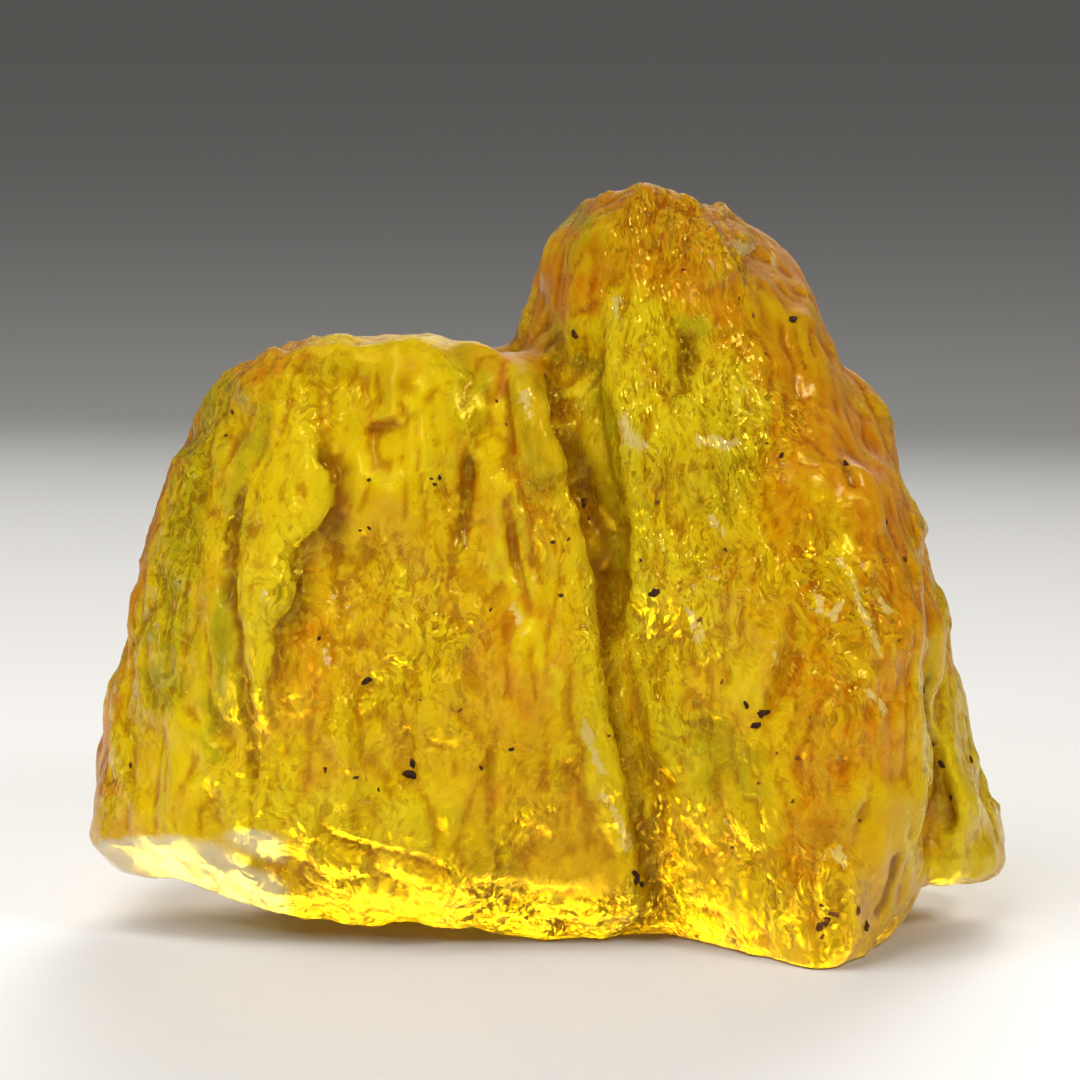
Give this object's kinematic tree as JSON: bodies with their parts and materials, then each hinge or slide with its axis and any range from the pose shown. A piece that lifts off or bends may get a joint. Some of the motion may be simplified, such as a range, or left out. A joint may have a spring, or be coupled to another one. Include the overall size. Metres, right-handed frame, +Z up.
{
  "type": "raw amber piece",
  "caption": "Rough see-through golden amber lump: a tall and a low resin flow grown together, furrowed and crumpled, standing on a flat natural break.",
  "frame": {"origin": "middle of the bounding box at the height of the flat break that the lump stands on", "axes": "+Z up, +X to the viewer's right along the lump's width with the low flow on -X and the tall flow on +X, -Y towards the viewer of the furrowed front"},
  "size_m": [0.0606, 0.0314, 0.0491],
  "materials": {
    "amber": "see-through golden resin with a crumpled, partly glossy natural skin"
  },
  "bodies": {
    "root": {"amber": "amber"}
  },
  "joints": []
}
